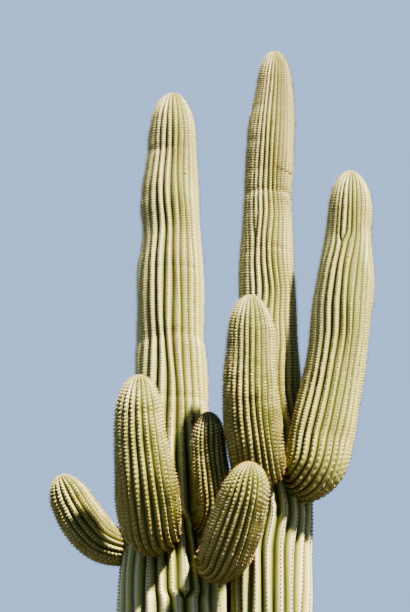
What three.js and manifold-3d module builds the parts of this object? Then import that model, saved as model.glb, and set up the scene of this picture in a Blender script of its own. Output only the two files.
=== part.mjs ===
// A full-grown saguaro cactus: a ribbed trunk, a second tall stem that rises beside it from a low
// fork, and eight arms. Millimetres, +Z up, the front of the plant looks along -Y, and the origin
// lies on the ground in the middle of the trunk's flat foot.
import * as THREE from 'three';
import Module from 'manifold-3d';

const wasm = await Module();
wasm.setup();

// Driving dimensions
const GROOVE_SHARE = 0.36; // depth of a groove, as a share of the rib's width
const SEAM_GROWTH = 0.6; // a stem is grown this much before it trims the foot of an arm
const THIN_RIB = 0.12; // width of a rib where it is not grown, as a share of a full one
const SPLIT_LENGTH = 260; // a rib takes this length to reach or to lose its full width
const DOME_ROWS = 4; // rows of facets in the dome at a tip
const FOOT_CROWDING = 1.3; // power by which the rows crowd towards the foot of a stem
const GOLDEN_TURN = 0.618; // spreads the splits evenly along a stem
const CORK_LENGTH = 900; // bark fills the grooves at the foot of the trunk up to this height
const CORK_GROOVE = 0.35; // share of the groove's depth that is left at the ground
const SLIGHT_OUTREACH = 50; // a stem that leans less than this counts as upright
const TANGENT_STEP = 1; // a stem's direction is measured over this length to each side
const METRE = 1000;

// Each stem is a row of stations [x, y, z, radius over the ribs], from its foot to its tip. The
// foot of an arm lies inside the stem that carries it, which trims it. dome is the length of the
// rounded tip, ribs is the count at the foot and at the tip, and splits are the two lengths
// between which ribs split or end. row is the mean height of a row of facets. twist is the angle
// of the first groove at the foot, in degrees, and its change per metre.
const STEMS = [
  {
    name: 'trunk', dome: 310, ribs: [23, 23], row: 195, colour: 0x9aa35c, cork: true, twist: [12.4, -4.55],
    stations: [
      [0, 0, 0, 292], [0, 0, 420, 264], [2, 0, 1100, 298], [14, 0, 1750, 326], [20, 0, 2360, 314],
      [-2, 0, 3100, 238], [-2.5, 0, 3530, 209.5], [-11, 0, 4050, 197], [-12, 0, 4380, 188],
      [-8, 0, 4490, 174], [-18.5, 0, 4720, 175.5], [-11, 0, 5000, 151], [-5, 0, 5411, 144],
    ],
  },
  {
    name: 'right_stem', dome: 210, ribs: [20, 29], splits: [1500, 3500], row: 195, colour: 0x9aa35c,
    trimmedBy: 'trunk', twist: [7.9, -0.3],
    stations: [
      [60, 0, 1500, 150], [250, 0, 1470, 172], [430, -6, 1570, 196], [520, -14, 1800, 212],
      [533, -45, 2360, 224], [543, -55, 3050, 229], [541, -55, 3420, 196], [540.5, -55, 3800, 173.5],
      [540, -52, 4320, 160], [551, -50, 4735, 142], [557.5, -50, 4870, 144.5],
      [580.5, -50, 5180, 137.5], [602, -50, 5490, 107], [608, -50, 5662, 106],
    ],
  },
  {
    name: 'right_arm', dome: 260, ribs: [24, 22], splits: [900, 1500], row: 150, colour: 0xa3ab62,
    trimmedBy: 'right_stem',
    stations: [
      [640, -120, 3090, 110], [710, -200, 3045, 136], [757, -270, 3085, 165], [809, -290, 3272, 177],
      [863, -300, 3500, 174], [905, -315, 3736, 165], [938, -335, 3979, 167], [963, -350, 4183, 154],
      [981, -362, 4377, 134], [1002, -380, 4750, 124],
    ],
  },
  {
    name: 'centre_arm', dome: 230, ribs: [26, 26], row: 130, colour: 0x98a258, trimmedBy: 'right_stem',
    twist: [2, 0],
    stations: [
      [520, -170, 3145, 84], [488, -300, 3085, 112], [466, -400, 3090, 142], [446, -475, 3190, 152],
      [428, -510, 3330, 158], [425, -520, 3440, 156], [430, -520, 3620, 142], [430, -520, 3976, 122],
    ],
  },
  {
    name: 'low_front_arm', dome: 170, ribs: [22, 22], row: 110, colour: 0x949c55, trimmedBy: 'trunk',
    stations: [
      [180, -130, 2645, 62], [225, -275, 2600, 100], [275, -420, 2595, 132], [310, -530, 2665, 144],
      [360, -620, 2800, 136], [392, -680, 2900, 126], [418, -720, 3034, 119],
    ],
  },
  {
    name: 'inner_arm', dome: 150, ribs: [20, 20], row: 120, colour: 0x7f8a4c, trimmedBy: 'trunk',
    stations: [
      [100, -110, 2870, 60], [190, -230, 2800, 82], [232, -320, 2870, 98], [223, -360, 3000, 100],
      [208, -370, 3120, 100], [202, -370, 3370, 91],
    ],
  },
  {
    name: 'left_front_arm', dome: 220, ribs: [22, 22], row: 120, colour: 0x98a258, trimmedBy: 'trunk',
    twist: [-2.3, 0],
    stations: [
      [-40, -115, 2800, 100], [-70, -280, 2755, 135], [-92, -380, 2775, 160], [-111, -470, 2890, 170],
      [-125, -530, 3000, 160], [-140, -560, 3130, 147], [-153, -580, 3300, 135], [-156, -580, 3519, 126],
    ],
  },
  {
    name: 'left_arm', dome: 150, ribs: [19, 19], row: 105, colour: 0x98a258, trimmedBy: 'trunk',
    stations: [
      [-130, 0, 2712, 72], [-250, 0, 2698, 97], [-363, -10, 2733, 117], [-466, -15, 2834, 126],
      [-554, -20, 2972, 118], [-612, -20, 3098, 104],
    ],
  },
  {
    name: 'back_arm', dome: 220, ribs: [22, 22], row: 160, colour: 0x8f9955, trimmedBy: 'trunk',
    stations: [
      [-10, 120, 2830, 95], [-20, 290, 2760, 125], [-25, 415, 2850, 148], [-25, 450, 3050, 156],
      [-20, 455, 3450, 154], [-10, 455, 4230, 132],
    ],
  },
  {
    name: 'right_back_arm', dome: 210, ribs: [22, 22], row: 150, colour: 0x8f9955,
    trimmedBy: 'right_stem',
    stations: [
      [535, 60, 2700, 85], [545, 210, 2640, 115], [552, 330, 2720, 138], [555, 365, 2900, 146],
      [556, 370, 3250, 142], [550, 370, 3800, 124],
    ],
  },
];

// A smooth curve through the stations: cubic pieces over the straight distance between stations,
// whose slope at a station is that of its two neighbours, weighted by how near each lies.
function curveThrough(stations) {
  const knots = [0];
  for (let i = 1; i < stations.length; i++) {
    const step = [0, 1, 2].map((axis) => stations[i][axis] - stations[i - 1][axis]);
    knots.push(knots[i - 1] + Math.hypot(...step));
  }
  const last = stations.length - 1;
  const chord = (i, axis) => (stations[i + 1][axis] - stations[i][axis]) / (knots[i + 1] - knots[i]);
  const slope = (i, axis) => {
    if (i === 0) return chord(0, axis);
    if (i === last) return chord(last - 1, axis);
    const before = knots[i] - knots[i - 1];
    const after = knots[i + 1] - knots[i];
    return (chord(i - 1, axis) * after + chord(i, axis) * before) / (before + after);
  };
  const at = (distance) => {
    let i = 0;
    while (i < last - 1 && distance > knots[i + 1]) i++;
    const span = knots[i + 1] - knots[i];
    const t = (distance - knots[i]) / span;
    return [0, 1, 2, 3].map((axis) => {
      const from = stations[i][axis];
      const rise = stations[i + 1][axis] - from;
      const leave = slope(i, axis) * span;
      const arrive = slope(i + 1, axis) * span;
      return from + t * (leave + t * (3 * rise - 2 * leave - arrive + t * (leave + arrive - 2 * rise)));
    });
  };
  return { length: knots[last], at };
}

// The lengths up a stem where its rows lie, closer together at the foot, where it bends, and over
// the dome, each with the share of the radius that is left there.
function rowsOf(stem, length) {
  const body = length - stem.dome;
  const count = Math.round(body / stem.row);
  const rows = [];
  for (let i = 0; i <= count; i++) rows.push({ distance: body * (i / count) ** FOOT_CROWDING, share: 1 });
  for (let i = 1; i < DOME_ROWS; i++) {
    const angle = (Math.PI / 2) * (i / DOME_ROWS);
    rows.push({ distance: body + stem.dome * Math.sin(angle), share: Math.cos(angle) });
  }
  return rows;
}

// Width of each rib at a distance up the stem, as shares of a full rib. A rib that splits off
// higher up, or has ended lower down, is only a thin strip there.
function ribWidths(stem, distance) {
  const [atFoot, atTip] = stem.ribs;
  const lasting = Math.min(atFoot, atTip);
  const changing = Math.abs(atTip - atFoot);
  const widths = [];
  let changed = 0;
  for (let rib = 0; rib < lasting; rib++) {
    widths.push(1);
    if (changed === changing || rib + 1 < ((changed + 0.5) * lasting) / changing) continue;
    const [from, to] = stem.splits;
    const start = from + (to - from) * ((changed * GOLDEN_TURN) % 1);
    const risen = THREE.MathUtils.smoothstep(distance, start, start + SPLIT_LENGTH);
    widths.push(THIN_RIB + (1 - THIN_RIB) * (atTip > atFoot ? risen : 1 - risen));
    changed++;
  }
  return widths;
}

// One ring of points: a groove and a ridge for each rib, as angle and radius.
function ringProfile(stem, row, radius, growth) {
  const widths = ribWidths(stem, row.distance);
  const total = widths.reduce((sum, width) => sum + width, 0);
  const risen = THREE.MathUtils.smoothstep(row.distance, 0, CORK_LENGTH);
  const open = stem.cork ? CORK_GROOVE + (1 - CORK_GROOVE) * risen : 1;
  const depth = (open * GROOVE_SHARE * 2 * Math.PI * radius) / total;
  const [start, perMetre] = stem.twist ?? [0, 0];
  const points = [];
  let turned = THREE.MathUtils.degToRad(start + (perMetre * row.distance) / METRE);
  for (const width of widths) {
    const wide = (2 * Math.PI * width) / total;
    const ridge = radius - depth * (1 - width);
    points.push({ angle: turned, radius: (radius - depth) * row.share + growth });
    points.push({ angle: turned + wide / 2, radius: ridge * row.share + growth });
    turned += wide;
  }
  return points;
}

// The horizontal direction across the plane in which a stem bends, from which its ribs are counted.
function sidewaysOf(stem) {
  const foot = stem.stations[0];
  const tip = stem.stations.at(-1);
  const outward = new THREE.Vector3(tip[0] - foot[0], tip[1] - foot[1], 0);
  if (outward.length() < SLIGHT_OUTREACH) return new THREE.Vector3(1, 0, 0);
  return new THREE.Vector3(-outward.y, outward.x, 0).normalize();
}

// The points of one ring, square to the stem at a row.
function ringPlaces(stem, curve, row, growth) {
  const [x, y, z, radius] = curve.at(row.distance);
  const before = curve.at(Math.max(row.distance - TANGENT_STEP, 0));
  const after = curve.at(Math.min(row.distance + TANGENT_STEP, curve.length));
  const along = new THREE.Vector3(after[0] - before[0], after[1] - before[1], after[2] - before[2]);
  along.normalize();
  const sideways = sidewaysOf(stem);
  const across = sideways.clone().addScaledVector(along, -sideways.dot(along)).normalize();
  const third = new THREE.Vector3().crossVectors(along, across);
  return ringProfile(stem, row, radius, growth).map((point) => {
    const place = new THREE.Vector3(x, y, z);
    place.addScaledVector(across, point.radius * Math.cos(point.angle));
    return place.addScaledVector(third, point.radius * Math.sin(point.angle));
  });
}

// The closed ribbed solid of one stem, grown outwards by a given amount.
function stemSolid(stem, growth) {
  const curve = curveThrough(stem.stations);
  const rings = rowsOf(stem, curve.length).map((row) => ringPlaces(stem, curve, row, growth));
  const columns = rings[0].length;
  const places = rings.flat().flatMap((place) => place.toArray());
  const tipIndex = rings.length * columns;
  const footIndex = tipIndex + 1;
  const [tipX, tipY, tipZ] = curve.at(curve.length);
  const [footX, footY, footZ] = stem.stations[0];
  places.push(tipX, tipY, tipZ + growth, footX, footY, footZ);
  const faces = [];
  for (let column = 0; column < columns; column++) {
    const next = (column + 1) % columns;
    for (let row = 0; row < rings.length - 1; row++) {
      const low = row * columns;
      const high = low + columns;
      faces.push(low + column, low + next, high + next, low + column, high + next, high + column);
    }
    const top = (rings.length - 1) * columns;
    faces.push(top + column, top + next, tipIndex, next, column, footIndex);
  }
  const mesh = new wasm.Mesh({
    numProp: 3,
    vertProperties: new Float32Array(places),
    triVerts: new Uint32Array(faces),
  });
  return new wasm.Manifold(mesh);
}

// The finished mesh of one stem, trimmed by the stem that carries it and placed at its foot.
function stemMesh(stem) {
  let solid = stemSolid(stem, 0);
  const carrier = STEMS.find((other) => other.name === stem.trimmedBy);
  if (carrier) solid = solid.subtract(stemSolid(carrier, SEAM_GROWTH));
  const { vertProperties, triVerts } = solid.getMesh();
  const geometry = new THREE.BufferGeometry();
  geometry.setAttribute('position', new THREE.BufferAttribute(new Float32Array(vertProperties), 3));
  geometry.setIndex(new THREE.BufferAttribute(new Uint32Array(triVerts), 1));
  const [x, y, z] = stem.stations[0];
  geometry.translate(-x, -y, -z);
  const flesh = new THREE.MeshStandardMaterial({ color: stem.colour, roughness: 0.62, metalness: 0 });
  flesh.flatShading = true;
  const mesh = new THREE.Mesh(geometry, flesh);
  mesh.name = stem.name;
  mesh.position.set(x, y, z);
  return mesh;
}

const group = new THREE.Group();
for (const stem of STEMS) group.add(stemMesh(stem));

export default group;
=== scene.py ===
"""Dresses a saguaro cactus: ribbed skins, felted areoles, spines and scars on each stem and arm."""

import math

import bpy
import numpy as np
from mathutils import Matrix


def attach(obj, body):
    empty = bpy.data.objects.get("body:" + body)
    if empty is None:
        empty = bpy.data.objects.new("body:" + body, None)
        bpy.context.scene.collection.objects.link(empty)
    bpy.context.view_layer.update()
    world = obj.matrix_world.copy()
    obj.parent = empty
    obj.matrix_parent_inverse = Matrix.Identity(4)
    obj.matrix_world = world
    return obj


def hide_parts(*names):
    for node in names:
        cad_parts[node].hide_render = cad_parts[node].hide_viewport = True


bl_info = {
    "name": "Saguaro cactus",
    "version": (1, 0, 0),
    "blender": (4, 5, 0),
    "location": "View3D > Sidebar > Saguaro",
    "description": "Grows the skins, areoles, spines and scars of a saguaro over its packed solids",
    "category": "Add Mesh",
}

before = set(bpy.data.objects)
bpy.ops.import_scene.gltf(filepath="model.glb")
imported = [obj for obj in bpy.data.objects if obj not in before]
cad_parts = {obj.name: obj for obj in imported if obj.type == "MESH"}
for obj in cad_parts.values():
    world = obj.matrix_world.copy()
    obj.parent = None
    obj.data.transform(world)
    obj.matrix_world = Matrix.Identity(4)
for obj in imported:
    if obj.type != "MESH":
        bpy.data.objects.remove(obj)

SEED = 7

# How the skins follow the solids. Lengths are in metres.
INSET = 0.005  # the skin lies this far inside the solid, whose faces stand for the spines' reach
THIN_RIB = 0.04  # width of a rib where it is not grown, as a share of a full one
SPLIT_LENGTH = 0.26  # a rib takes this length to reach or to lose its full width
GOLDEN_TURN = 0.618  # spreads the splits evenly along a stem
LENT_WIDTHS = (0.25, 0.15, 0.1)  # shares of a short rib's width that its neighbours give up
CORK_LENGTH = 0.9  # bark fills the grooves at the foot of the trunk up to this height
CORK_GROOVE = 0.35  # share of the groove's depth that is left at the ground
CORK_LUMPS = 0.005  # height of the lumps in the bark
CORK_LUMP_LENGTH = 0.06
CORK_LOBES = (7, 12, 17, 23, 31, 38)  # how many lumps lie round the trunk, for each wave of them
SLIGHT_OUTREACH = 0.05  # a stem that leans less than this counts as upright
RIB_CURVE = 1.35  # power of a rib's cross-section: 1 is a sharp roof, 2 a round arch
OLD_SWELL = 0.06  # rise of the crest at an areole, as a share of their spacing, on old growth
YOUNG_SWELL = 0.2  # the same high up on the main stems
ARM_SWELL = 0.09  # the same on the arms
LUMP_HEIGHT = 0.0034  # slow swellings of the flesh
LUMP_LENGTH = 0.3
LUMP_LOBES = range(4)
WANDER = 0.1  # how far a rib strays sideways, as a share of its width
WANDER_LENGTH = 0.5
WANDER_LOBES = (0, 1, 2, 3, 5, 7, 9)
LONGEST_WAVE = 2.6  # the longest waves of such a field, where the shortest are 1
TANGENT_STEP = 0.001  # a stem's direction is measured over this length to each side
ROWS_EACH = 2  # rows of points for each areole spacing

# Where areoles are left out, and how they sit on the skin.
LOW_EDGE = 0.04  # nothing grows on the bark lower than this
CROWDED = 0.58  # inside a bend, areoles closer than this share of their usual spacing are left out
GROWN_RIB = 0.5  # a rib with less than this share of its full width carries none
BARE_TIP = 0.1  # nor does a tip where this share of the radius or less is left
BURIED = 0.004  # nor does skin that lies this deep inside another stem
CORE_SAMPLES = 160  # places along the other stem from which that depth is measured
PAD_CORNERS = 5
PAD_SINK = 0.002  # the rim of a pad lies this deep in the skin
PAD_RISE = 0.28  # height of a pad over the skin, as a share of its width
SPINE_START = 0.001  # a spine starts this far out, inside the felt

# Where the columns of a rib lie across it, from its left groove to just before the next one.
# The middle one, on the crest, carries the areoles.
RIB_SECTION = (-0.5, -0.43, -0.19, 0.0, 0.19, 0.43)

# Each stem is a row of stations (x, y, z, radius over the ribs) from its foot to its tip. dome is
# the length of the rounded tip, ribs the count at the foot and at the tip, splits the two lengths
# between which ribs split or end, areoles their spacing at the foot and at the tip, and twist the
# angle of the first groove at the foot in degrees and its change per metre. A short rib is the
# rib it stands before, where it starts and ends, and the length over which it closes.
STEMS = {
    "trunk": {
        "dome": 0.31, "ribs": (23, 23), "areoles": (0.023, 0.0138), "twist": (12.4, -4.55),
        "short_ribs": [(18, 2.4, 2.87, 0.06)],
        "stations": [
            (0, 0, 0, 0.292), (0, 0, 0.42, 0.264), (0.002, 0, 1.1, 0.298), (0.014, 0, 1.75, 0.326),
            (0.02, 0, 2.36, 0.314), (-0.002, 0, 3.1, 0.238), (-0.0025, 0, 3.53, 0.2095),
            (-0.011, 0, 4.05, 0.197), (-0.012, 0, 4.38, 0.188), (-0.008, 0, 4.49, 0.174),
            (-0.0185, 0, 4.72, 0.1755), (-0.011, 0, 5.0, 0.151), (-0.005, 0, 5.411, 0.144),
        ],
    },
    "right_stem": {
        "dome": 0.21, "ribs": (20, 29), "splits": (1.5, 3.5), "areoles": (0.0245, 0.0138),
        "twist": (7.9, -0.3),
        "stations": [
            (0.06, 0, 1.5, 0.15), (0.25, 0, 1.47, 0.172), (0.43, -0.006, 1.57, 0.196),
            (0.52, -0.014, 1.8, 0.212), (0.533, -0.045, 2.36, 0.224), (0.543, -0.055, 3.05, 0.229),
            (0.541, -0.055, 3.42, 0.196), (0.5405, -0.055, 3.8, 0.1735), (0.54, -0.052, 4.32, 0.16),
            (0.551, -0.05, 4.735, 0.142), (0.5575, -0.05, 4.87, 0.1445), (0.5805, -0.05, 5.18, 0.1375),
            (0.602, -0.05, 5.49, 0.107), (0.608, -0.05, 5.662, 0.106),
        ],
    },
    "right_arm": {
        "dome": 0.26, "ribs": (24, 22), "splits": (0.9, 1.5), "areoles": (0.0175, 0.0132),
        "short_ribs": [(13, 1.44, 9, 0.07)],
        "stations": [
            (0.64, -0.12, 3.09, 0.11), (0.71, -0.2, 3.045, 0.136), (0.757, -0.27, 3.085, 0.165),
            (0.809, -0.29, 3.272, 0.177), (0.863, -0.3, 3.5, 0.174), (0.905, -0.315, 3.736, 0.165),
            (0.938, -0.335, 3.979, 0.167), (0.963, -0.35, 4.183, 0.154), (0.981, -0.362, 4.377, 0.134),
            (1.002, -0.38, 4.75, 0.124),
        ],
    },
    "centre_arm": {
        "dome": 0.23, "ribs": (26, 26), "areoles": (0.0175, 0.015), "twist": (2, 0),
        "stations": [
            (0.52, -0.17, 3.145, 0.084), (0.488, -0.3, 3.085, 0.112), (0.466, -0.4, 3.09, 0.142),
            (0.446, -0.475, 3.19, 0.152), (0.428, -0.51, 3.33, 0.158), (0.425, -0.52, 3.44, 0.156),
            (0.43, -0.52, 3.62, 0.142), (0.43, -0.52, 3.976, 0.122),
        ],
    },
    "low_front_arm": {
        "dome": 0.17, "ribs": (22, 22), "areoles": (0.019, 0.017),
        "stations": [
            (0.18, -0.13, 2.645, 0.062), (0.225, -0.275, 2.6, 0.1), (0.275, -0.42, 2.595, 0.132),
            (0.31, -0.53, 2.665, 0.144), (0.36, -0.62, 2.8, 0.136), (0.392, -0.68, 2.9, 0.126),
            (0.418, -0.72, 3.034, 0.119),
        ],
    },
    "inner_arm": {
        "dome": 0.15, "ribs": (20, 20), "areoles": (0.0185, 0.0165),
        "stations": [
            (0.1, -0.11, 2.87, 0.06), (0.19, -0.23, 2.8, 0.082), (0.232, -0.32, 2.87, 0.098),
            (0.223, -0.36, 3.0, 0.1), (0.208, -0.37, 3.12, 0.1), (0.202, -0.37, 3.37, 0.091),
        ],
    },
    "left_front_arm": {
        "dome": 0.22, "ribs": (22, 22), "areoles": (0.019, 0.017), "twist": (-2.3, 0),
        "stations": [
            (-0.04, -0.115, 2.8, 0.1), (-0.07, -0.28, 2.755, 0.135), (-0.092, -0.38, 2.775, 0.16),
            (-0.111, -0.47, 2.89, 0.17), (-0.125, -0.53, 3.0, 0.16), (-0.14, -0.56, 3.13, 0.147),
            (-0.153, -0.58, 3.3, 0.135), (-0.156, -0.58, 3.519, 0.126),
        ],
    },
    "left_arm": {
        "dome": 0.15, "ribs": (19, 19), "areoles": (0.019, 0.017),
        "stations": [
            (-0.13, 0, 2.712, 0.072), (-0.25, 0, 2.698, 0.097), (-0.363, -0.01, 2.733, 0.117),
            (-0.466, -0.015, 2.834, 0.126), (-0.554, -0.02, 2.972, 0.118), (-0.612, -0.02, 3.098, 0.104),
        ],
    },
    "back_arm": {
        "dome": 0.22, "ribs": (22, 22), "areoles": (0.0185, 0.015),
        "stations": [
            (-0.01, 0.12, 2.83, 0.095), (-0.02, 0.29, 2.76, 0.125), (-0.025, 0.415, 2.85, 0.148),
            (-0.025, 0.45, 3.05, 0.156), (-0.02, 0.455, 3.45, 0.154), (-0.01, 0.455, 4.23, 0.132),
        ],
    },
    "right_back_arm": {
        "dome": 0.21, "ribs": (22, 22), "areoles": (0.0185, 0.0155),
        "stations": [
            (0.535, 0.06, 2.7, 0.085), (0.545, 0.21, 2.64, 0.115), (0.552, 0.33, 2.72, 0.138),
            (0.555, 0.365, 2.9, 0.146), (0.556, 0.37, 3.25, 0.142), (0.55, 0.37, 3.8, 0.124),
        ],
    },
}
MAIN_STEMS = ("trunk", "right_stem")
PALE_ARMS = ("right_arm",)
BROWN_CROWNED = ("inner_arm",)
GOLDEN_CROWNED = ("low_front_arm",)
GREEN_ARMS = tuple(name for name in STEMS if name not in MAIN_STEMS + PALE_ARMS + BROWN_CROWNED)

# Stems whose areoles and spines are joined into one piece of each kind.
SPRAY_GROUPS = {
    "trunk": ("trunk",),
    "right_stem": ("right_stem",),
    "right_arm": ("right_arm", "centre_arm"),
    "front_arms": ("low_front_arm", "inner_arm", "left_front_arm", "left_arm"),
    "back_arms": ("back_arm", "right_back_arm"),
}

# Waists, where a year's growth was checked: distance up the stem, compass direction in degrees
# from +X, depth, half height, and how far they reach round the stem (9 is all the way).
WAISTS = {
    "trunk": [
        (3.87, 0, 0.006, 0.035, 9), (3.94, 0, 0.004, 0.03, 0.5), (4.4, 180, 0.006, 0.025, 0.6),
        (4.74, 180, 0.007, 0.022, 0.6), (5.02, 200, 0.008, 0.02, 0.9),
    ],
    "right_stem": [
        (3.583, 270, 0.008, 0.02, 9), (3.9, 180, 0.008, 0.02, 0.7), (4.12, 180, 0.007, 0.02, 0.7),
    ],
}

# Shallower growth rings at random places: how many, and the shares of the stem's length between
# which they lie, for the main stems and for the arms.
GROWTH_RINGS = {"stem": (16, 0.6, 0.97), "arm": (6, 0.35, 0.95)}
RING_DEPTHS = (0.001, 0.004)
RING_HALF_HEIGHTS = (0.01, 0.02)
RING_SPREAD = 0.6

# Corky scars, as lines over the skin: distance and compass direction of both ends, and the width.
SCARS = {
    "trunk": [
        (5.215, 299, 5.2, 303, 0.013), (5.165, 284, 5.15, 288, 0.011), (4.86, 305, 4.85, 308, 0.01),
        (3.3, 80, 3.27, 96, 0.014), (4.6, 120, 4.58, 126, 0.012), (1.9, 250, 1.86, 262, 0.02),
    ],
    "right_stem": [
        (3.718, 284, 3.7, 350, 0.012), (2.6, 70, 2.58, 84, 0.013), (1.0, 290, 0.96, 298, 0.018),
    ],
    "right_arm": [(0.36, 246, 0.35, 257, 0.012), (1.2, 40, 1.19, 52, 0.011)],
}
SCAR_STEPS = 60  # places along a scar where its width is set
SCAR_RISE = 0.9  # height of a scar over the skin, as a share of half its width
SCAR_SINK = 0.003  # its sides reach this deep into the skin
RAGGED_EDGES = (0.75, 1.1)  # its width strays between these shares from place to place

# Heights and distances where the areoles change with age.
OLD_AREOLES = 3.15  # on the main stems they are dark below this height
OLD_FADE = 0.3  # and mix with pale ones over this distance above and below it
WORN_FOOT = 0.7  # on the arms they are tan up to this distance from the foot
WORN_SHARE = 0.75  # or up to this share of a short arm
CROWN_SHARE = 0.85  # golden and brown areoles begin where this share of the radius is left
AGE_BLUR = 0.12  # on the arms the two kinds mix over this distance to each side
YOUNG, WORN, OLD, GOLDEN, BROWN = range(5)
SPINE_SHARES = (1.0, 0.8, 0.4, 1.15, 1.15)  # length of a spine at each age
SPINE_RANGE = (0.75, 1.25)  # shares of that length between which spines differ
STRAW_SPINE, GOLDEN_SPINE, BROWN_SPINE = range(3)
WORN_STRAW = 1 / 3  # worn areoles have this share of the straw coloured sprays of young ones

# Heights between which the skin of the main stems changes.
# The painted shade in the creases between the areoles comes in between these heights.
CREASE_SHADE_HEIGHTS = (2.0, 5.2)  # the creases between the areoles come in
BARKED = (1.35, 0.75)  # it turns to bark, with 0 to 1 added to the height for a ragged edge
CUTICLE_IOR = 1.45
RELIEF_STRENGTH = 0.6

# Where the spines of one areole point, in degrees round it from straight up the rib, and how far
# each may stray from there. The spreading ones reach sideways like the teeth of a comb.
RADIAL_DIRECTIONS = (72, 112, 180, 248, 288)
RADIAL_STRAY = 14
CENTRAL_DIRECTIONS = (30, 190)
CENTRAL_STRAY = 80

# The stage. The camera stands at eye height and looks up, as in the photo. Each light has the
# direction in which it shines, its strength, the width of its disc in degrees and its colour.
CAMERA_PLACE = (0.185, -7.87, 1.6)
CAMERA_TILT = 107.5  # degrees up from straight down
LENS_MM = 85
SENSOR_MM = 36
FARTHEST_SEEN = 200
KEY_LIGHT = ((-0.396, 0.507, -0.766), 12.0, 3.0, "#fff7ea")
FILL_LIGHT = ((0.6, -0.5, -0.35), 0.6, 45.0, "#e6eefc")
LIGHT_AROUND = 0.9
DIM_BELOW = (-0.3, -0.14)  # sines of the angles between which the light all round turns dim
FLOOR_REACH = 30


def linear(colour):
    """Linear red, green and blue of an sRGB hex colour."""
    shares = [int(colour[i:i + 2], 16) / 255 for i in (1, 3, 5)]
    return tuple(c / 12.92 if c <= 0.04045 else ((c + 0.055) / 1.055) ** 2.4 for c in shares)


def smoothstep(value):
    """0 below 0, 1 above 1, and an even S curve between them."""
    held = np.clip(value, 0, 1)
    return held * held * (3 - 2 * held)


def unit(vectors):
    """The same directions with length 1."""
    return vectors / np.linalg.norm(vectors, axis=-1, keepdims=True)


def curve_length(stem):
    """Straight distances between the stations, added up."""
    places = np.array(stem["stations"], dtype=float)[:, :3]
    return np.linalg.norm(np.diff(places, axis=0), axis=1).sum()


def curve_through(stem, distances):
    """Place and radius at each distance: cubic pieces over the straight distance between stations.
    The slope at a station is that of its two neighbours, weighted by how near each lies."""
    points = np.array(stem["stations"], dtype=float)
    rises = np.diff(points, axis=0)
    spans = np.linalg.norm(rises[:, :3], axis=1)[:, None]
    knots = np.concatenate(([0.0], np.cumsum(spans)))
    chords = rises / spans
    inner = (chords[:-1] * spans[1:] + chords[1:] * spans[:-1]) / (spans[:-1] + spans[1:])
    slopes = np.vstack((chords[:1], inner, chords[-1:]))
    piece = np.clip(np.searchsorted(knots, distances) - 1, 0, len(spans) - 1)
    span = spans[piece]
    t = (distances - knots[piece])[:, None] / span
    rise = rises[piece]
    leave = slopes[piece] * span
    arrive = slopes[piece + 1] * span
    bend = leave + arrive - 2 * rise
    return points[piece] + t * (leave + t * (3 * rise - 2 * leave - arrive + t * bend))


def rows_of(stem):
    """Distance up the stem of each row of points, and the share of the radius that is left there.
    ROWS_EACH rows make one areole spacing, which grows evenly from foot to tip, so row k of n lies
    at length times (q to the power k/n, minus 1) over (q minus 1), with q the ratio of the
    spacings. Over the dome the rows lie at even angles of a quarter ellipse."""
    at_foot, at_tip = stem["areoles"]
    length = curve_length(stem)
    body = length - stem["dome"]
    ratio = at_tip / at_foot
    count = round(ROWS_EACH * body * math.log(ratio) / (at_tip - at_foot))
    steps = np.arange(count + 1) / count
    distances = body * (ratio ** steps - 1) / (ratio - 1)
    tip_radius = stem["stations"][-1][3]
    arc = math.pi / 2 * math.sqrt((stem["dome"] ** 2 + tip_radius ** 2) / 2)
    dome_rows = round(ROWS_EACH * arc / at_tip)
    angles = math.pi / 2 * np.arange(1, dome_rows) / dome_rows
    distances = np.concatenate((distances, body + stem["dome"] * np.sin(angles)))
    shares = np.concatenate((np.ones(count + 1), np.cos(angles)))
    return distances, shares


def rib_widths(stem, distances):
    """Width of each rib, row by row, as a share of a full rib. A rib that splits off higher up, or
    has ended lower down, is only a thin strip there. A short rib takes its width from the ribs
    beside it, so that the others stay in their places."""
    at_foot, at_tip = stem["ribs"]
    lasting = min(at_foot, at_tip)
    changing = abs(at_tip - at_foot)
    widths = []
    changed = 0
    for rib in range(lasting):
        widths.append(np.ones_like(distances))
        if changed == changing or rib + 1 < (changed + 0.5) * lasting / changing:
            continue
        start, end = stem["splits"]
        start += (end - start) * (changed * GOLDEN_TURN % 1)
        risen = smoothstep((distances - start) / SPLIT_LENGTH)
        widths.append(THIN_RIB + (1 - THIN_RIB) * (risen if at_tip > at_foot else 1 - risen))
        changed += 1
    for place, start, end, closing in stem.get("short_ribs", ()):
        grown = smoothstep((distances - start) / closing) * smoothstep((end - distances) / closing)
        width = THIN_RIB + (1 - THIN_RIB) * grown
        widths.insert(place, width)
        for step, share in enumerate(LENT_WIDTHS, start=1):
            widths[place - step] = widths[place - step] - share * width
            widths[place + step] = widths[place + step] - share * width
    return np.stack(widths, axis=1)


def ring_frames(stem, distances):
    """Centre and radius of each ring, and two directions across it: the first is horizontal and
    square to the way the stem leans, the second is square to it and to the stem."""
    here = curve_through(stem, distances)
    length = curve_length(stem)
    before = curve_through(stem, np.maximum(distances - TANGENT_STEP, 0))
    after = curve_through(stem, np.minimum(distances + TANGENT_STEP, length))
    along = unit((after - before)[:, :3])
    foot, tip = np.array(stem["stations"], dtype=float)[[0, -1], :2]
    outward = tip - foot
    sideways = np.array((1.0, 0.0, 0.0))
    if np.linalg.norm(outward) >= SLIGHT_OUTREACH:
        sideways = unit(np.array((-outward[1], outward[0], 0.0)))
    across = unit(sideways - (along @ sideways)[:, None] * along)
    return here[:, :3], here[:, 3], across, np.cross(along, across)


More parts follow.
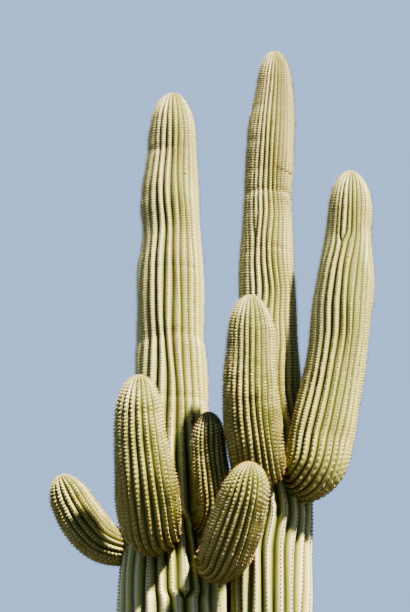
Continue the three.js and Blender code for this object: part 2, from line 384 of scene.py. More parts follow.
def waves(rng, turns, distances, shortest, lobes):
    """A smooth field over a stem, about -1 to 1: a sum of sines, one for each count of lobes round
    it, whose lengths along it are 1 to LONGEST_WAVE times the shortest."""
    field = np.zeros_like(turns)
    for count in lobes:
        wave = 2 * math.pi / (shortest * rng.uniform(1, LONGEST_WAVE))
        start = rng.uniform(0, 2 * math.pi)
        field += np.sin(count * turns + wave * distances[:, None] + start)
    return field * 2 / len(lobes)


def growth_rings(rng, name):
    """Random shallow waists, in the form that WAISTS has."""
    count, lowest, highest = GROWTH_RINGS["stem" if name in MAIN_STEMS else "arm"]
    length = curve_length(STEMS[name])
    return [
        (
            length * rng.uniform(lowest, highest), rng.uniform(0, 360), rng.uniform(*RING_DEPTHS),
            rng.uniform(*RING_HALF_HEIGHTS), RING_SPREAD,
        )
        for _ in range(count)
    ]


def waist_depth(waists, distances, outwards):
    """How far the waists pull the skin in: a bell curve up the stem times one round it."""
    depth = np.zeros(outwards.shape[:2])
    for middle, compass, deep, half, spread in waists:
        facing = (math.cos(math.radians(compass)), math.sin(math.radians(compass)), 0)
        near = np.exp(-((distances - middle) / half) ** 2)[:, None]
        depth += deep * near * np.exp((outwards @ np.array(facing) - 1) / spread)
    return depth


def grow(name, sizes):
    """The skin of one stem as rings of points. Across a rib the skin stands 1 - |2p| to the power
    RIB_CURVE above its groove, with p from -0.5 at one groove to 0.5 at the next. beat counts the
    areoles up the rib: they stand where it is whole, and every second rib is half a beat ahead."""
    stem = STEMS[name]
    rng = np.random.default_rng(SEED + list(STEMS).index(name))
    distances, shares = rows_of(stem)
    widths = rib_widths(stem, distances)
    centres, radii, across, third = ring_frames(stem, distances)
    radii = radii - INSET
    section = np.array(RIB_SECTION)
    total = widths.sum(axis=1, keepdims=True)
    wide = 2 * math.pi * widths / total
    starts = np.cumsum(wide, axis=1) - wide
    turns = starts[..., None] + wide[..., None] * (section + 0.5)
    first, per_metre = stem.get("twist", (0, 0))
    turns = turns.reshape(len(distances), -1) + np.radians(first + per_metre * distances)[:, None]
    pitch = 2 * math.pi / total
    turns += WANDER * pitch * waves(rng, turns, distances, WANDER_LENGTH, WANDER_LOBES)
    rise = widths[..., None] * (1 - np.abs(2 * section) ** RIB_CURVE)
    rise = rise.reshape(turns.shape)
    corky = np.zeros_like(distances)
    if name == "trunk":
        corky = 1 - smoothstep(distances / CORK_LENGTH)
    opened = 1 - (1 - CORK_GROOVE) * corky
    depth = opened[:, None] * sizes.groove_share * pitch * radii[:, None]
    counts = np.arange(len(distances))[:, None] / ROWS_EACH
    beat = np.repeat(counts + np.arange(widths.shape[1]) % 2 / 2, len(section), axis=1)
    spacing = ROWS_EACH * np.gradient(distances)[:, None]
    swelling = ARM_SWELL
    if name in MAIN_STEMS:
        young = smoothstep((centres[:, 2:] - OLD_AREOLES) / OLD_FADE)
        swelling = OLD_SWELL + (YOUNG_SWELL - OLD_SWELL) * young
    swell = np.cos(2 * math.pi * beat) / 2 * rise ** 2 * swelling * spacing
    lumps = LUMP_HEIGHT * waves(rng, turns, distances, LUMP_LENGTH, LUMP_LOBES)
    cork_lumps = waves(rng, turns, distances, CORK_LUMP_LENGTH, CORK_LOBES)
    lumps += CORK_LUMPS * corky[:, None] * cork_lumps
    outwards = np.cos(turns)[..., None] * across[:, None] + np.sin(turns)[..., None] * third[:, None]
    waists = WAISTS.get(name, []) + growth_rings(rng, name)
    pulled_in = waist_depth(waists, distances, outwards)
    reach = radii[:, None] - depth * (1 - rise) + swell + lumps - pulled_in
    places = centres[:, None] + (reach * shares[:, None])[..., None] * outwards
    tip = curve_through(stem, np.array([curve_length(stem)]))[0, :3]
    return {
        "places": places, "foot": centres[0], "tip": tip, "rise": rise, "shares": shares,
        "beat": beat, "distances": distances, "centres": centres,
    }


def put_mesh(name, points, faces, smooth=True):
    """A mesh object from an array of points and arrays of faces with one corner count each."""
    mesh = bpy.data.meshes.new(name)
    counts = np.concatenate([np.full(len(part), part.shape[1]) for part in faces])
    corners = np.concatenate([part.ravel() for part in faces]).astype(np.int32)
    mesh.vertices.add(len(points))
    mesh.vertices.foreach_set("co", points.astype(np.float32).ravel())
    mesh.loops.add(len(corners))
    mesh.loops.foreach_set("vertex_index", corners)
    mesh.polygons.add(len(counts))
    starts = np.concatenate(([0], np.cumsum(counts)[:-1])).astype(np.int32)
    mesh.polygons.foreach_set("loop_start", starts)
    mesh.polygons.foreach_set("use_smooth", np.full(len(counts), smooth))
    mesh.update(calc_edges=True)
    made = bpy.data.objects.new(name, mesh)
    bpy.context.scene.collection.objects.link(made)
    return made


def put_attribute(piece, name, values):
    """Stores one number for each point of a mesh."""
    layer = piece.data.attributes.new(name, "FLOAT", "POINT")
    layer.data.foreach_set("value", values.astype(np.float32).ravel())


def skin_mesh(name, grown):
    """The closed skin of one stem: its rings, a fan over the tip and a fan under the foot."""
    places = grown["places"]
    rows, columns = places.shape[:2]
    points = np.vstack((places.reshape(-1, 3), grown["tip"], grown["foot"]))
    tip_index = rows * columns
    lows = np.arange(rows * columns).reshape(rows, columns)
    nexts = np.roll(lows, -1, axis=1)
    quads = np.stack((lows[:-1], nexts[:-1], nexts[1:], lows[1:]), axis=-1).reshape(-1, 4)
    top = np.stack((lows[-1], nexts[-1], np.full(columns, tip_index)), axis=-1)
    foot = np.stack((nexts[0], lows[0], np.full(columns, tip_index + 1)), axis=-1)
    piece = put_mesh(name + "_skin", points, [quads, top, foot])
    crown = np.broadcast_to(1 - grown["shares"][:, None], (rows, columns))
    for number, values, at_ends in (
        ("crest", grown["rise"], (1, 1)), ("crown", crown, (1, 1)), ("beat", grown["beat"], (0, 0)),
    ):
        put_attribute(piece, number, np.append(values, at_ends))
    return piece


def inside_another(name, points):
    """Which points lie inside another stem, so that nothing grows there."""
    hidden = np.zeros(len(points), dtype=bool)
    for other, stem in STEMS.items():
        if other == name:
            continue
        samples = np.linspace(0, curve_length(stem) - stem["dome"] / 2, CORE_SAMPLES)
        core = curve_through(stem, samples)
        gaps = np.linalg.norm(points[:, None] - core[None, :, :3], axis=2) - core[None, :, 3]
        hidden |= gaps.min(axis=1) < -BURIED
    return hidden


def areoles_of(name, sizes):
    """Place, outward, upward and sideways directions of each areole on a stem, the distance to
    the next one, the share of the radius left there (0 at the very tip) and its age."""
    grown = grow(name, sizes)
    places = grown["places"]
    ribs = places.shape[1] // len(RIB_SECTION)
    crests = np.arange(ribs) * len(RIB_SECTION) + RIB_SECTION.index(0.0)
    rows = {
        "place": places[:, crests],
        "side": places[:, crests + 1] - places[:, crests - 1],
        "rise": grown["rise"][:, crests],
        "share": np.repeat(grown["shares"][:, None], ribs, axis=1),
        "along": np.repeat(grown["distances"][:, None], ribs, axis=1),
        "beat": grown["beat"][:, crests],
    }
    rows["up"] = np.gradient(rows["place"], axis=0)
    rows["pitch"] = ROWS_EACH * np.linalg.norm(rows["up"], axis=-1)
    whole = np.abs(rows["beat"] - np.round(rows["beat"])) < 0.1
    open_enough = rows["pitch"] > CROWDED * ROWS_EACH * np.gradient(rows["along"], axis=0)
    chosen = whole & open_enough & (rows["rise"] > GROWN_RIB) & (rows["share"] > BARE_TIP)
    chosen &= rows["place"][..., 2] > LOW_EDGE
    found = {key: value[chosen] for key, value in rows.items()}
    found["out"] = unit(np.cross(found["side"], found["up"]))
    found["up"] = unit(found["up"])
    found["side"] = np.cross(found["up"], found["out"])
    found["age"] = ages_of(name, found)
    clear = ~inside_another(name, found["place"])
    return {key: value[clear] for key, value in found.items()}


def ages_of(name, found):
    """Dark old areoles low on the main stems, worn tan ones near the feet of the arms, golden or
    brown ones on some crowns, and young pale ones elsewhere, with some of each mixed between."""
    count = len(found["place"])
    blurred = np.random.default_rng(SEED + count).uniform(-1, 1, count)
    if name in MAIN_STEMS:
        fade = (found["place"][:, 2] - OLD_AREOLES) / OLD_FADE
        return np.where(fade + blurred < 0, OLD, YOUNG)
    worn = min(WORN_FOOT, WORN_SHARE * curve_length(STEMS[name]))
    age = np.where(found["along"] - worn + AGE_BLUR * blurred < 0, WORN, YOUNG)
    if name in GOLDEN_CROWNED + BROWN_CROWNED:
        crowned = GOLDEN if name in GOLDEN_CROWNED else BROWN
        age = np.where(found["share"] < CROWN_SHARE, crowned, age)
    return age


def group_areoles(group, sizes):
    """All areoles of a group of stems."""
    parts = [areoles_of(name, sizes) for name in SPRAY_GROUPS[group]]
    return {key: np.concatenate([part[key] for part in parts]) for key in parts[0]}


def pad_mesh(name, found, sizes):
    """One felted pad for each areole: a low five-sided dome, its rim sunk in the skin."""
    count = len(found["place"])
    angles = 2 * math.pi * np.arange(PAD_CORNERS) / PAD_CORNERS
    half_long = (sizes.areole_share * found["pitch"] / 2)[:, None, None]
    half_wide = sizes.areole_width / 2 * np.sqrt(found["share"])[:, None, None]
    rim = found["place"][:, None] - PAD_SINK * found["out"][:, None]
    rim = rim + half_long * np.cos(angles)[:, None] * found["up"][:, None]
    rim = rim + half_wide * np.sin(angles)[:, None] * found["side"][:, None]
    peak = found["place"] + sizes.areole_width * PAD_RISE * found["out"]
    points = np.concatenate((rim, peak[:, None]), axis=1)
    cap = [(i, (i + 1) % PAD_CORNERS, PAD_CORNERS) for i in range(PAD_CORNERS)]
    base = [(0, i + 1, i) for i in range(1, PAD_CORNERS - 1)]
    faces = np.array(cap + base)[None] + (PAD_CORNERS + 1) * np.arange(count)[:, None, None]
    return put_mesh(name, points.reshape(-1, 3), [faces.reshape(-1, 3)]), len(cap + base)


def spine_mesh(name, found, lean, length, thickness, directions, stray, rng):
    """Straight spines, each a slim three-sided needle with its base sunk in the felt. lean is how
    far they tilt from straight out, as a range in degrees, length a range in metres, and
    directions where they point round the areole, each give or take stray degrees."""
    areoles = len(found["place"])
    count = len(directions)
    shape = (areoles, count)
    tilt = np.radians(rng.uniform(*lean, shape))[..., None]
    spread = np.radians(np.array(directions) + rng.uniform(-stray, stray, shape))[..., None]
    out = found["out"][:, None]
    flat = np.cos(spread) * found["up"][:, None] + np.sin(spread) * found["side"][:, None]
    ahead = np.cos(tilt) * out + np.sin(tilt) * flat
    lasting = np.array(SPINE_SHARES)[found["age"]] * np.sqrt(found["share"])
    long = (rng.uniform(*length, shape) * lasting[:, None])[..., None]
    start = found["place"][:, None] + SPINE_START * out
    # A skewed direction, so that no spine lies along it.
    first = unit(np.cross(ahead, found["up"][:, None] + 0.3 * found["side"][:, None]))
    second = np.cross(ahead, first)
    corners = [
        start + thickness / 2 * (math.cos(turn) * first + math.sin(turn) * second)
        for turn in (0, 2 * math.pi / 3, 4 * math.pi / 3)
    ]
    points = np.stack(corners + [start + long * ahead], axis=2)
    needle = np.array(((0, 1, 3), (1, 2, 3), (2, 0, 3), (0, 2, 1)))
    faces = needle[None] + 4 * np.arange(areoles * count)[:, None, None]
    return put_mesh(name, points.reshape(-1, 3), [faces.reshape(-1, 3)], smooth=False), 4 * count


def on_skin(grown, distances, compasses):
    """Points of a skin at some distances up the stem and compass directions: means of the points
    of the nearest ring, weighted by how near their own directions lie."""
    rows = np.interp(distances, grown["distances"], np.arange(len(grown["distances"])))
    low = np.floor(rows).astype(int)
    share = (rows - low)[:, None, None]
    rings = (1 - share) * grown["places"][low] + share * grown["places"][low + 1]
    middles = (1 - share[:, 0]) * grown["centres"][low] + share[:, 0] * grown["centres"][low + 1]
    around = rings - middles[:, None]
    own = np.degrees(np.arctan2(around[..., 1], around[..., 0]))
    apart = np.abs((own - compasses[:, None] + 180) % 360 - 180)
    step = 360 / rings.shape[1]
    weights = np.maximum(1.5 * step - apart, 0)
    weights /= weights.sum(axis=1, keepdims=True)
    return (weights[..., None] * rings).sum(axis=1), middles


def scar_mesh(name, sizes):
    """The scars of one stem: ridges of cork that follow its skin, four points round, whose width
    and height swell from nothing at one end and back, with ragged edges."""
    grown = grow(name, sizes)
    rng = np.random.default_rng(SEED)
    sheets = []
    for from_distance, from_compass, to_distance, to_compass, width in SCARS[name]:
        t = np.linspace(0, 1, SCAR_STEPS)
        distances = from_distance + (to_distance - from_distance) * t
        line, middles = on_skin(grown, distances, from_compass + (to_compass - from_compass) * t)
        out = unit(line - middles)
        along = unit(np.gradient(line, axis=0))
        aside = unit(np.cross(out, along))
        ragged = rng.uniform(*RAGGED_EDGES, SCAR_STEPS)
        half = (width / 2 * np.sqrt(np.maximum(4 * t * (1 - t), 0)) * ragged)[:, None]
        low = line - SCAR_SINK * out
        ridge = line + SCAR_RISE * half * out
        sheets.append(np.stack((low - half * aside, ridge, low + half * aside, low), axis=1))
    points = np.concatenate(sheets)
    starts = 4 * SCAR_STEPS * np.arange(len(sheets))[:, None, None]
    rows = 4 * np.arange(SCAR_STEPS - 1)[None, :, None]
    sides = np.arange(4)[None, None]
    nexts = (np.arange(4) + 1)[None, None] % 4
    a, b = starts + rows + sides, starts + rows + nexts
    faces = np.stack((a, b, b + 4, a + 4), axis=-1).reshape(-1, 4)
    first_lids = starts[:, 0] + np.array((3, 2, 1, 0))
    last_lids = starts[:, 0] + 4 * (SCAR_STEPS - 1) + np.arange(4)
    return put_mesh(name + "_scars", points.reshape(-1, 3), [faces, first_lids, last_lids])


def deal_out(piece, materials, choice, faces_each):
    """Gives each spray of faces one of several plain materials."""
    for material in materials:
        piece.data.materials.append(material)
    indices = np.repeat(choice, faces_each).astype(np.int32)
    piece.data.polygons.foreach_set("material_index", indices)


def add_node(tree, kind, settings=None, inputs=None):
    """Adds a shader node, sets its properties, and fills or links its sockets."""
    made = tree.nodes.new(kind)
    for name, value in (settings or {}).items():
        setattr(made, name, value)
    for name, value in (inputs or {}).items():
        if isinstance(value, bpy.types.NodeSocket):
            tree.links.new(value, made.inputs[name])
        else:
            made.inputs[name].default_value = value
    return made


def new_material(name, roughness):
    """An empty material with its main shader, and the tree that holds it."""
    material = bpy.data.materials.get(name) or bpy.data.materials.new(name)
    material.use_nodes = True
    tree = material.node_tree
    tree.nodes.clear()
    inputs = {"Roughness": roughness, "IOR": CUTICLE_IOR}
    shader = add_node(tree, "ShaderNodeBsdfPrincipled", inputs=inputs)
    add_node(tree, "ShaderNodeOutputMaterial", inputs={"Surface": shader.outputs[0]})
    return material, tree, shader


def cover(tree, shader, colour, relief, depth):
    """Links a colour and a relief of some depth in metres to the main shader."""
    inputs = {"Strength": RELIEF_STRENGTH, "Distance": depth, "Height": relief}
    bump = add_node(tree, "ShaderNodeBump", inputs=inputs)
    tree.links.new(colour, shader.inputs["Base Color"])
    tree.links.new(bump.outputs[0], shader.inputs["Normal"])


def stored(tree, name):
    """A number that put_attribute stored for the points of a mesh."""
    return add_node(tree, "ShaderNodeAttribute", {"attribute_name": name}).outputs["Fac"]


def mixed(tree, share, first, second):
    """A colour between two others: node inputs 6 and 7 are the colours of a Mix node."""
    return add_node(
        tree, "ShaderNodeMix", {"data_type": "RGBA"}, {0: share, 6: first, 7: second}
    ).outputs[2]


def blended(tree, share, first, second):
    """A number between two others: node inputs 2 and 3 are the numbers of a Mix node."""
    return add_node(
        tree, "ShaderNodeMix", {"data_type": "FLOAT"}, {0: share, 2: first, 3: second}
    ).outputs[0]


def ranged(tree, value, low, high, top=1.0):
    """Stretches a number so that low becomes 0 and high becomes top, held between them."""
    return add_node(
        tree, "ShaderNodeMapRange", {"clamp": True}, {0: value, 1: low, 2: high, 3: 0.0, 4: top}
    ).outputs[0]


def counted(tree, operation, first, second):
    """The result of a sum on two numbers."""
    return add_node(tree, "ShaderNodeMath", {"operation": operation}, {0: first, 1: second}).outputs[0]


def noise(tree, place, size_mm, detail=2.0):
    """A cloudy pattern whose blots are about size_mm wide."""
    return add_node(
        tree, "ShaderNodeTexNoise", inputs={"Vector": place, "Scale": 1000 / size_mm, "Detail": detail}
    ).outputs[0]


def waxy_skin(name, colours, green, crown_colour, bleached, crease_shading, corky):
    """Living saguaro skin: a waxy cuticle, satin, dark green with painted shade in the grooves,
    yellow-green on the flanks and bleached along the crests, with painted brown shade in the creases
    between each two areoles, a woolly crown and, on the main stems, brown grooves high up that also
    carry painted shade, cream old crests low down and grey-brown bark at the foot."""
    material, tree, shader = new_material(name, 0.5)
    place = add_node(tree, "ShaderNodeTexCoord").outputs["Object"]
    height = add_node(tree, "ShaderNodeSeparateXYZ", inputs={0: place}).outputs[2]
    crest, crown, beat = (stored(tree, number) for number in ("crest", "crown", "beat"))
    patches = ranged(tree, noise(tree, place, 140, 3.0), 0.35, 0.68)
    flank = mixed(tree, patches, (*green, 1), (*colours.sunned, 1))
    groove_and_shade_colour = (*colours.groove, 1)
    crest_colour = (*colours.crest, 1)
    # Painted shade: how dark the creases between the areoles get across the rib.
    crease_shade_mask = ranged(tree, crest, 0.4, 0.8, crease_shading)
    if corky:
        aged = ranged(tree, height, OLD_AREOLES + OLD_FADE, OLD_AREOLES - OLD_FADE)
        # High up on the main stems the grooves turn brown: partly the brown of the spines, partly painted
        # shade.
        groove_and_shade_colour = mixed(tree, aged, (*colours.brown_groove_and_shade, 1), groove_and_shade_colour)
        crest_colour = mixed(tree, aged, crest_colour, (*colours.old_crest, 1))
        # On the main stems the painted shade in the creases covers the whole flank high up and only the
        # crest low down.
        higher = ranged(tree, height, *CREASE_SHADE_HEIGHTS, crease_shading)
        whole_flank = counted(tree, "MULTIPLY", higher, ranged(tree, crest, 0.1, 0.5))
        crease_shade_mask = blended(tree, aged, whole_flank, ranged(tree, crest, 0.86, 0.98, 0.6))
    # Darker towards the groove: the dark green of the grooves, which also serves as painted shade in the
    # recess.
    skin = mixed(tree, ranged(tree, crest, 0.05, 0.55), groove_and_shade_colour, flank)
    skin = mixed(tree, ranged(tree, crest, 0.6, 1.0, bleached), skin, crest_colour)
    grain = ranged(tree, noise(tree, place, 9, 4.0), 0.35, 0.75, 0.6)
    darker = add_node(tree, "ShaderNodeHueSaturation", inputs={"Value": 0.72, "Color": skin}).outputs[0]
    skin = mixed(tree, grain, skin, darker)
    # Painted shade: the creases between two areoles are darkened as if shaded by the areoles; the same
    # mask also presses them into the relief.
    between = ranged(tree, counted(tree, "PINGPONG", beat, 0.5), 0.2, 0.42, 0.9)
    crease_shade = counted(tree, "MULTIPLY", between, crease_shade_mask)
    skin = mixed(tree, crease_shade, skin, (*colours.crease_shade, 1))
    skin = mixed(tree, ranged(tree, crown, 0.75, 1.0), skin, (*crown_colour, 1))
    if corky:
        ragged = counted(tree, "ADD", height, noise(tree, place, 90, 4.0))
        cork_share = ranged(tree, ragged, *BARKED)
        cracks = ranged(tree, noise(tree, place, 22, 6.0), 0.38, 0.6)
        bark = mixed(tree, cracks, (*colours.bark_crack, 1), (*colours.bark, 1))
        skin = mixed(tree, cork_share, skin, bark)
    relief = counted(tree, "SUBTRACT", noise(tree, place, 6, 3.0), crease_shade)
    cover(tree, shader, skin, relief, 0.002)
    return material


def dead_cork(name, colours):
    """Scar tissue: dry dead cork, matt, brown and flecked with its darker cracks."""
    material, tree, shader = new_material(name, 0.9)
    place = add_node(tree, "ShaderNodeTexCoord").outputs["Object"]
    flecks = ranged(tree, noise(tree, place, 5, 4.0), 0.35, 0.65)
    cork = mixed(tree, flecks, (*colours.bark_crack, 1), (*colours.scar, 1))
    cover(tree, shader, cork, flecks, 0.001)
    return material


def plain(name, colour, roughness):
    """One even colour, for things too small to show a pattern."""
    material, _, shader = new_material(name, roughness)
    shader.inputs["Base Color"].default_value = (*colour, 1)
    return material


def share_property(name, description, share):
    """A share that a user can change."""
    return bpy.props.FloatProperty(
        name=name, description=description, default=share, min=0, max=1, subtype="FACTOR"
    )


def length_property(name, description, metres):
    """A short length that a user can change."""
    return bpy.props.FloatProperty(
        name=name, description=description, default=metres, min=0.0002, max=0.1, unit="LENGTH"
    )


class SaguaroSizes(bpy.types.PropertyGroup):
    """Sizes that shape the skins and what grows on them."""

    groove_share: share_property("Groove depth", "Depth of a groove in rib widths", 0.5)
    areole_share: share_property("Areole length", "Share of the way to the next areole", 0.55)
    areole_width: length_property("Areole width", "Width of a felted pad", 0.0078)
    radial_thickness: length_property("Radial thickness", "Base of a spreading spine", 0.0015)
    central_thickness: length_property("Central thickness", "Base of a standing spine", 0.0012)
    radial_length: length_property("Radial length", "Mean length of spreading spines", 0.013)
    central_length: length_property("Central length", "Mean length of standing spines", 0.017)


def colour_property(name, description, colour):
    """A colour that a user can change, given as an sRGB hex value."""
    return bpy.props.FloatVectorProperty(
        name=name, description=description, default=linear(colour), subtype="COLOR", min=0, max=1
    )


class SaguaroColours(bpy.types.PropertyGroup):
    """Colours of the skin, the felt, the spines, the bark, the scars and the stage."""

    trunk_green: colour_property("Trunk green", "Skin on the flanks of the main stems", "#a7af64")
    arm_green: colour_property("Arm green", "Skin on the flanks of the arms", "#7c8238")
    sunned: colour_property("Sunned skin", "Bleached patches of skin", "#b1a968")
    # Dark green at the bottom of the grooves, which also serves as painted shade in them.
    groove: colour_property("Groove", "Skin at the bottom of the grooves", "#45492a")
    # Brown of the upper grooves: partly the brown of the spines, partly painted shade.
    brown_groove_and_shade: colour_property("Brown groove", "Grooves high up on the main stems", "#463f22")
    crest: colour_property("Crest", "Bleached skin along the crests", "#d2cb9b")
    old_crest: colour_property("Old crest", "Crests low on the main stems", "#e3d4b7")
    # Painted shade in the creases between two areoles.
    crease_shade: colour_property("Crease", "Skin between two areoles", "#5c4f2e")
    felt: colour_property("Felt", "Wool on the crowns and young areoles", "#dacfab")
    brown_felt: colour_property("Brown felt", "Wool on the brown crowns", "#6f5536")
    worn_felt: colour_property("Worn felt", "Areoles near the feet of the arms", "#b39c70")
    old_felt: colour_property("Old felt", "Weathered areoles low on the stems", "#5f473b")
    bark: colour_property("Bark", "Corky bark at the foot", "#8d7f69")
    bark_crack: colour_property("Bark cracks", "Cracks in the corky bark", "#4d4235")
    scar: colour_property("Scar", "Healed scars", "#6d5540")
    straw: colour_property("Straw spines", "Pale dry spines", "#dccfaa")
    golden: colour_property("Golden spines", "Young golden brown spines", "#a5834b")
    brown: colour_property("Brown spines", "Old dark spines", "#6a4f3d")
    floor: colour_property("Floor", "Pale floor", "#c9c6c0")
    backdrop: colour_property("Backdrop", "Pale light from above and all round", "#a3bbdb")
    underlight: colour_property("Underlight", "Dim warm light from below", "#605a4e")


class SAGUARO_OT_stage(bpy.types.Operator):
    """Places the camera at the photo's viewing angle, the lights and the floor"""

    bl_idname = "saguaro.stage"
    bl_label = "Set the stage"

    def execute(self, context):
        colours = context.scene.saguaro_colours
        lens = bpy.data.cameras.new("camera")
        lens.lens = LENS_MM
        lens.sensor_width = SENSOR_MM
        lens.clip_end = FARTHEST_SEEN
        camera = bpy.data.objects.new("camera", lens)
        camera.location = CAMERA_PLACE
        camera.rotation_euler = (math.radians(CAMERA_TILT), 0, 0)
        context.scene.collection.objects.link(camera)
        context.scene.camera = camera
        context.scene.view_settings.view_transform = "AgX"
        context.scene.view_settings.look = "AgX - Very High Contrast"
        self.add_sun(context, "key", *KEY_LIGHT)
        self.add_sun(context, "fill", *FILL_LIGHT)
        self.light_around(context, (*colours.backdrop, 1), (*colours.underlight, 1), LIGHT_AROUND)
        corners = FLOOR_REACH * np.array(((-1, -1, 0), (1, -1, 0), (1, 1, 0), (-1, 1, 0)), dtype=float)
        floor = put_mesh("floor", corners, [np.array(((0, 1, 2, 3),))])
        floor.data.materials.append(plain("painted_floor", colours.floor, 0.9))
        floor.visible_diffuse = False  # so that the undersides of the arms stay in shade
        return {"FINISHED"}

    @staticmethod
    def light_around(context, above, below, strength):
        """Even light all round, pale down to a little below level and dim under that."""
        world = bpy.data.worlds.new("studio")
        world.use_nodes = True
        context.scene.world = world
        tree = world.node_tree
        direction = add_node(tree, "ShaderNodeTexCoord").outputs["Generated"]
        height = add_node(tree, "ShaderNodeSeparateXYZ", inputs={0: direction}).outputs[2]
        colour = mixed(tree, ranged(tree, height, *DIM_BELOW), below, above)
        background = tree.nodes["Background"]
        background.inputs["Strength"].default_value = strength
        tree.links.new(colour, background.inputs["Color"])

    @staticmethod
    def add_sun(context, name, travel, strength, softness, colour):
        """A distant light along a direction, with the width of its disc in degrees."""
        light = bpy.data.lights.new(name, "SUN")
        light.energy = strength
        light.angle = math.radians(softness)
        light.color = linear(colour)
        lamp = bpy.data.objects.new(name, light)
        down, across = -travel[2], math.hypot(travel[0], travel[1])
        lamp.rotation_euler = (math.atan2(across, down), 0, math.atan2(travel[1], travel[0]) - math.pi / 2)
        context.scene.collection.objects.link(lamp)


def dress_skins(context, names, material):
    """Grows the skins of some stems over their solids."""
    for name in names:
        piece = skin_mesh(name, grow(name, context.scene.saguaro_sizes))
        piece.data.materials.append(material)
        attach(piece, "root")
        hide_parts(name)


class SAGUARO_OT_stem_skins(bpy.types.Operator):
    """Grows the ribbed skins of the trunk and the second stem"""

    bl_idname = "saguaro.stem_skins"
    bl_label = "Grow the stems"

    def execute(self, context):
        colours = context.scene.saguaro_colours
        material = waxy_skin(
            "waxy_stem_skin", colours, colours.trunk_green, colours.felt, bleached=0.9,
            crease_shading=0.95, corky=True,
        )
        dress_skins(context, MAIN_STEMS, material)
        return {"FINISHED"}


class SAGUARO_OT_arm_skins(bpy.types.Operator):
    """Grows the ribbed skins of the arms"""

    bl_idname = "saguaro.arm_skins"
    bl_label = "Grow the arms"

    def execute(self, context):
        colours = context.scene.saguaro_colours
        green = colours.arm_green
        # The stems, their green, the wool on their crowns, how bleached they are and how dark the painted
        # shade in their creases is.
        kinds = {
            "waxy_pale_arm_skin": (PALE_ARMS, colours.trunk_green, colours.felt, 0.8, 0.7),
            "waxy_green_arm_skin": (GREEN_ARMS, green, colours.felt, 0.4, 0.85),
            "waxy_brown_crowned_skin": (BROWN_CROWNED, green, colours.brown_felt, 0.3, 0.85),
        }
        for name, (stems, flank, wool, bleached, crease_shading) in kinds.items():
            material = waxy_skin(name, colours, flank, wool, bleached, crease_shading, corky=False)
            dress_skins(context, stems, material)
        return {"FINISHED"}


class SAGUARO_OT_areoles(bpy.types.Operator):
    """Sets a felted pad on the crest of the ribs at every areole"""

    bl_idname = "saguaro.areoles"
    bl_label = "Set the areoles"

    def execute(self, context):
        colours = context.scene.saguaro_colours
        sizes = context.scene.saguaro_sizes
        # In the order of YOUNG, WORN, OLD, GOLDEN and BROWN.
        wools = {
            "young_areole_felt": colours.felt, "worn_areole_felt": colours.worn_felt,
            "weathered_areole_felt": colours.old_felt, "cream_crown_felt": colours.felt,
            "brown_crown_felt": colours.brown_felt,
        }
        felts = [plain(name, wool, 0.95) for name, wool in wools.items()]
        for group in SPRAY_GROUPS:
            found = group_areoles(group, sizes)
            piece, faces_each = pad_mesh(group + "_areoles", found, sizes)
            deal_out(piece, felts, found["age"], faces_each)
            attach(piece, "root")
        return {"FINISHED"}


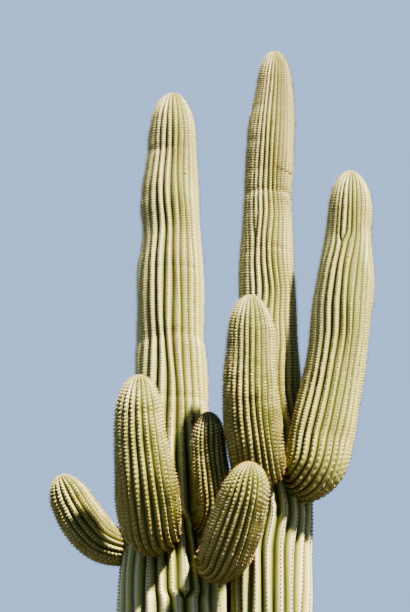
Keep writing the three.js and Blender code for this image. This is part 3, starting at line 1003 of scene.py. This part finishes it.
class SAGUARO_OT_spines(bpy.types.Operator):
    """Sets the spreading and the standing spines in every areole"""

    bl_idname = "saguaro.spines"
    bl_label = "Set the spines"

    def execute(self, context):
        colours = context.scene.saguaro_colours
        sizes = context.scene.saguaro_sizes
        # In the order of STRAW_SPINE, GOLDEN_SPINE and BROWN_SPINE.
        dry = [
            plain("straw_spine", colours.straw, 0.55),
            plain("golden_spine", colours.golden, 0.55),
            plain("brown_spine", colours.brown, 0.6),
        ]
        # Lean, mean length, thickness, directions, stray and the share of straw coloured sprays.
        kinds = {
            "radial": (
                (45, 80), sizes.radial_length, sizes.radial_thickness, RADIAL_DIRECTIONS,
                RADIAL_STRAY, 0.85,
            ),
            "central": (
                (8, 50), sizes.central_length, sizes.central_thickness, CENTRAL_DIRECTIONS,
                CENTRAL_STRAY, 0.45,
            ),
        }
        for group in SPRAY_GROUPS:
            found = group_areoles(group, sizes)
            for kind, (lean, mean, thickness, directions, stray, straw) in kinds.items():
                rng = np.random.default_rng(SEED + len(directions) + len(found["place"]))
                length = [mean * share for share in SPINE_RANGE]
                piece, faces_each = spine_mesh(
                    f"{group}_{kind}_spines", found, lean, length, thickness, directions, stray, rng
                )
                dealt = rng.uniform(0, 1, len(found["place"]))
                age = found["age"]
                choice = np.select(
                    [(age == OLD) | (age == BROWN), age == GOLDEN, age == WORN],
                    [
                        BROWN_SPINE, GOLDEN_SPINE,
                        np.where(dealt < straw * WORN_STRAW, STRAW_SPINE, GOLDEN_SPINE),
                    ],
                    np.where(dealt < straw, STRAW_SPINE, GOLDEN_SPINE),
                )
                deal_out(piece, dry, choice, faces_each)
                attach(piece, "root")
        return {"FINISHED"}


class SAGUARO_OT_scars(bpy.types.Operator):
    """Lays the corky scars over the skins"""

    bl_idname = "saguaro.scars"
    bl_label = "Lay the scars"

    def execute(self, context):
        material = dead_cork("dry_scar_cork", context.scene.saguaro_colours)
        for name in SCARS:
            piece = scar_mesh(name, context.scene.saguaro_sizes)
            piece.data.materials.append(material)
            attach(piece, "root")
        return {"FINISHED"}


class SAGUARO_PT_panel(bpy.types.Panel):
    """Lists the sizes, the colours and the steps"""

    bl_idname = "SAGUARO_PT_panel"
    bl_label = "Saguaro cactus"
    bl_space_type = "VIEW_3D"
    bl_region_type = "UI"
    bl_category = "Saguaro"

    def draw(self, context):
        for group in (context.scene.saguaro_sizes, context.scene.saguaro_colours):
            for name in group.__annotations__:
                self.layout.prop(group, name)
        for step in STEPS:
            self.layout.operator(step.bl_idname)


STEPS = (
    SAGUARO_OT_stage,
    SAGUARO_OT_stem_skins,
    SAGUARO_OT_arm_skins,
    SAGUARO_OT_areoles,
    SAGUARO_OT_spines,
    SAGUARO_OT_scars,
)
CLASSES = (SaguaroSizes, SaguaroColours, *STEPS, SAGUARO_PT_panel)


def register():
    for each in CLASSES:
        bpy.utils.register_class(each)
    bpy.types.Scene.saguaro_sizes = bpy.props.PointerProperty(type=SaguaroSizes)
    bpy.types.Scene.saguaro_colours = bpy.props.PointerProperty(type=SaguaroColours)


def unregister():
    del bpy.types.Scene.saguaro_colours
    del bpy.types.Scene.saguaro_sizes
    for each in reversed(CLASSES):
        bpy.utils.unregister_class(each)


def main():
    register()
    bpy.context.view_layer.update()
    bpy.ops.saguaro.stage()
    bpy.ops.saguaro.stem_skins()
    bpy.ops.saguaro.arm_skins()
    bpy.ops.saguaro.areoles()
    bpy.ops.saguaro.spines()
    bpy.ops.saguaro.scars()


if __name__ == "__main__":
    main()
